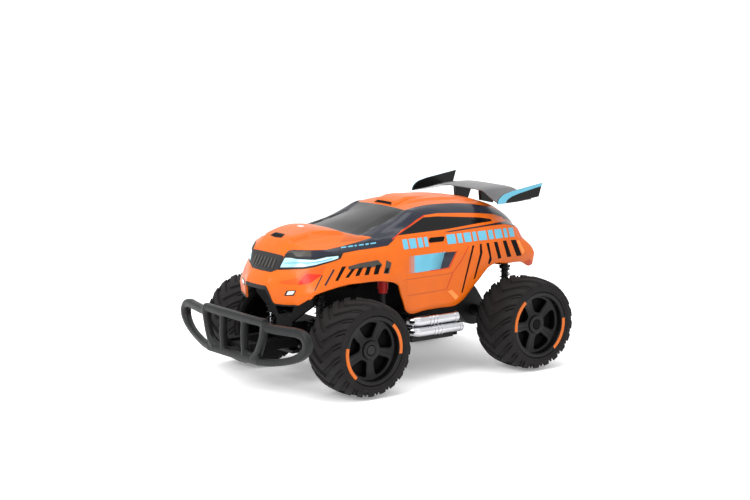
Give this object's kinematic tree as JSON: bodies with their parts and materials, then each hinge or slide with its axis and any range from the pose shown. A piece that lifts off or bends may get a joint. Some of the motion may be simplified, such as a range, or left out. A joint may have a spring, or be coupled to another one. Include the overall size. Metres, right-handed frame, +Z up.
{
  "type": "radio-controlled monster truck",
  "caption": "Radio-controlled toy monster truck: clip-on off-road body with rear wing, tube bumper, side pipes, sprung chassis and deep-lugged tyres on spoked rims.",
  "frame": {"origin": "on the ground, in the middle of the overall length and on the plane of symmetry", "axes": "+X towards the nose, +Y towards the truck's left side, +Z up"},
  "size_m": [0.3295, 0.222, 0.1765],
  "materials": {
    "shell_orange": "gloss orange paint with dark blue and grey graphics",
    "wing_black": "gloss",
    "black_plastic": "satin moulded nylon",
    "chassis_black": "matt moulded nylon",
    "tyre_rubber": "matt",
    "rim_black": "satin black with orange arcs on the flange",
    "chrome": "bright plated plastic",
    "steel": "bright",
    "spring_steel": "dark oiled",
    "red_plastic": "satin",
    "gear_plastic": "satin natural nylon",
    "motor_can": "satin",
    "brass": "bright",
    "battery_wrap": "shrink wrap",
    "board_green": "circuit board"
  },
  "bodies": {
    "chassis": {"chassis_tub": "chassis_black", "chassis_deck": "chassis_black", "front_bulkhead": "chassis_black", "front_shock_tower": "chassis_black", "rear_frame": "chassis_black", "bumper_bracket": "chassis_black", "front_bumper": "black_plastic", "body_shell": "shell_orange", "body_posts": "black_plastic", "body_sockets": "red_plastic", "wing_blade": "wing_black", "wing_supports": "wing_black", "exhaust_pipes": "chrome", "shock_bodies": "black_plastic", "front_spring_left": "spring_steel", "front_spring_right": "spring_steel", "rear_springs": "spring_steel", "suspension_pins": "steel", "battery_pack": "battery_wrap", "receiver_board": "board_green", "steering_servo": "black_plastic", "chassis_screws": "steel"},
    "front_wheel_left": {"tyre_front_left": "tyre_rubber", "rim_front_left": "rim_black", "wheel_nut_front_left": "black_plastic"},
    "front_wheel_right": {"tyre_front_right": "tyre_rubber", "rim_front_right": "rim_black", "wheel_nut_front_right": "black_plastic"},
    "rear_wheels": {"rear_axle_shaft": "steel", "axle_gear": "gear_plastic", "rim_rear_left": "rim_black", "rim_rear_right": "rim_black", "tyre_rear_left": "tyre_rubber", "tyre_rear_right": "tyre_rubber", "wheel_nuts_rear": "black_plastic"},
    "idler": {"idler_gear": "gear_plastic"},
    "pinion": {"motor_pinion": "brass"},
    "rear_swing_axle": {"gearbox_case": "chassis_black", "gearbox_cover": "chassis_black", "axle_bushes": "brass", "drive_motor": "motor_can"},
    "rear_rods": {"rear_shock_rods": "steel"},
    "horn": {"servo_horn": "gear_plastic"},
    "steering_link": {"tie_bar": "black_plastic"},
    "switch": {"power_switch": "red_plastic"},
    "battery_hatch": {"battery_door": "chassis_black"},
    "arm_low_left": {"lower_arm_left": "black_plastic"},
    "arm_up_left": {"upper_arm_left": "black_plastic"},
    "hub_left": {"hub_carrier_left": "black_plastic", "hub_pins_left": "steel"},
    "steer_knuckle_left": {"knuckle_left": "black_plastic"},
    "link_left": {"tie_rod_left": "black_plastic"},
    "rod_left": {"front_shock_rod_left": "steel"},
    "arm_low_right": {"lower_arm_right": "black_plastic"},
    "arm_up_right": {"upper_arm_right": "black_plastic"},
    "hub_right": {"hub_carrier_right": "black_plastic", "hub_pins_right": "steel"},
    "steer_knuckle_right": {"knuckle_right": "black_plastic"},
    "link_right": {"tie_rod_right": "black_plastic"},
    "rod_right": {"front_shock_rod_right": "steel"}
  },
  "joints": [
    {"name": "suspension_left", "type": "hinge", "parent": "chassis", "child": "arm_low_left", "pos_m": [0.08, 0.019, 0.037], "axis": [1, 0, 0], "range_deg": [0, 8], "stiffness_Nm_per_rad": 0.6, "springref_deg": -14.32},
    {"name": "upper_arm_left_pivot", "type": "hinge", "parent": "chassis", "child": "arm_up_left", "pos_m": [0.08, 0.019, 0.055], "axis": [1, 0, 0], "range_deg": [0, 8]},
    {"name": "hub_left_pivot", "type": "hinge", "parent": "arm_low_left", "child": "hub_left", "pos_m": [0.08, 0.047, 0.037], "axis": [1, 0, 0], "range_deg": [-8, 0]},
    {"name": "steer_left", "type": "hinge", "parent": "hub_left", "child": "steer_knuckle_left", "pos_m": [0.08, 0.0545, 0.045], "axis": [0, 0, 1], "range_deg": [-18, 18]},
    {"name": "front_wheel_left_spin", "type": "hinge", "parent": "steer_knuckle_left", "child": "front_wheel_left", "pos_m": [0.08, 0.086, 0.045], "axis": [0, 1, 0], "continuous": true},
    {"name": "tie_rod_left_pivot", "type": "hinge", "parent": "steering_link", "child": "link_left", "pos_m": [0.065, 0.0265, 0.0493], "axis": [1, 0, 0], "range_deg": [0, 8]},
    {"name": "front_shock_left_slide", "type": "slide", "parent": "chassis", "child": "rod_left", "axis": [0, 0, 1], "range_m": [0, 0.003], "deforming": ["front_spring_left"]},
    {"name": "suspension_right", "type": "hinge", "parent": "chassis", "child": "arm_low_right", "pos_m": [0.08, -0.019, 0.037], "axis": [-1, 0, 0], "range_deg": [0, 8], "stiffness_Nm_per_rad": 0.6, "springref_deg": -14.32},
    {"name": "upper_arm_right_pivot", "type": "hinge", "parent": "chassis", "child": "arm_up_right", "pos_m": [0.08, -0.019, 0.055], "axis": [-1, 0, 0], "range_deg": [0, 8]},
    {"name": "hub_right_pivot", "type": "hinge", "parent": "arm_low_right", "child": "hub_right", "pos_m": [0.08, -0.047, 0.037], "axis": [-1, 0, 0], "range_deg": [-8, 0]},
    {"name": "steer_right", "type": "hinge", "parent": "hub_right", "child": "steer_knuckle_right", "pos_m": [0.08, -0.0545, 0.045], "axis": [0, 0, 1], "range_deg": [-18, 18]},
    {"name": "front_wheel_right_spin", "type": "hinge", "parent": "steer_knuckle_right", "child": "front_wheel_right", "pos_m": [0.08, -0.086, 0.045], "axis": [0, 1, 0], "continuous": true},
    {"name": "tie_rod_right_pivot", "type": "hinge", "parent": "steering_link", "child": "link_right", "pos_m": [0.065, -0.0265, 0.0493], "axis": [-1, 0, 0], "range_deg": [0, 8]},
    {"name": "front_shock_right_slide", "type": "slide", "parent": "chassis", "child": "rod_right", "axis": [0, 0, 1], "range_m": [0, 0.003], "deforming": ["front_spring_right"]},
    {"name": "tie_bar_slide", "type": "slide", "parent": "chassis", "child": "steering_link", "axis": [0, -1, 0], "range_m": [-0.0048, 0.0048]},
    {"name": "servo_horn_turn", "type": "hinge", "parent": "chassis", "child": "horn", "pos_m": [0.053, 0, 0.052], "axis": [0, 0, 1], "range_deg": [-19.5, 19.5]},
    {"name": "rear_axle_swing", "type": "hinge", "parent": "chassis", "child": "rear_swing_axle", "pos_m": [-0.08, 0, 0.045], "axis": [0, 1, 0], "range_deg": [0, 6.5], "stiffness_Nm_per_rad": 1.8, "springref_deg": -14.32},
    {"name": "rear_shock_slide", "type": "slide", "parent": "chassis", "child": "rear_rods", "axis": [0, 0, 1], "range_m": [0, 0.0062], "deforming": ["rear_springs"]},
    {"name": "rear_axle_spin", "type": "hinge", "parent": "rear_swing_axle", "child": "rear_wheels", "pos_m": [-0.12, 0, 0.045], "axis": [0, 1, 0], "continuous": true},
    {"name": "idler_spin", "type": "hinge", "parent": "rear_swing_axle", "child": "idler", "pos_m": [-0.1122, 0, 0.05851], "axis": [0, 1, 0], "continuous": true},
    {"name": "motor_pinion_spin", "type": "hinge", "parent": "rear_swing_axle", "child": "pinion", "pos_m": [-0.09861, 0, 0.06091], "axis": [0, 1, 0], "continuous": true},
    {"name": "power_switch_slide", "type": "slide", "parent": "chassis", "child": "switch", "axis": [1, 0, 0], "range_m": [0, 0.003]},
    {"name": "battery_door_pull", "type": "slide", "parent": "chassis", "child": "battery_hatch", "axis": [0, 0, -1], "range_m": [0, 0.02]}
  ],
  "couplings": [
    {"joint": "upper_arm_left_pivot", "follows": "suspension_left", "ratio": 1},
    {"joint": "hub_left_pivot", "follows": "suspension_left", "ratio": -1},
    {"joint": "tie_rod_left_pivot", "follows": "suspension_left", "ratio": 1},
    {"joint": "front_shock_left_slide", "follows": "suspension_left", "m_per_rad": 0.021},
    {"joint": "upper_arm_right_pivot", "follows": "suspension_right", "ratio": 1},
    {"joint": "hub_right_pivot", "follows": "suspension_right", "ratio": -1},
    {"joint": "tie_rod_right_pivot", "follows": "suspension_right", "ratio": 1},
    {"joint": "front_shock_right_slide", "follows": "suspension_right", "m_per_rad": 0.021},
    {"joint": "steer_right", "follows": "steer_left", "ratio": 1},
    {"joint": "tie_bar_slide", "follows": "steer_left", "m_per_rad": 0.01475},
    {"joint": "servo_horn_turn", "follows": "steer_left", "ratio": -1.065},
    {"joint": "rear_shock_slide", "follows": "rear_axle_swing", "m_per_rad": 0.053},
    {"joint": "idler_spin", "follows": "rear_axle_spin", "ratio": -3.3333},
    {"joint": "motor_pinion_spin", "follows": "rear_axle_spin", "ratio": 12}
  ]
}
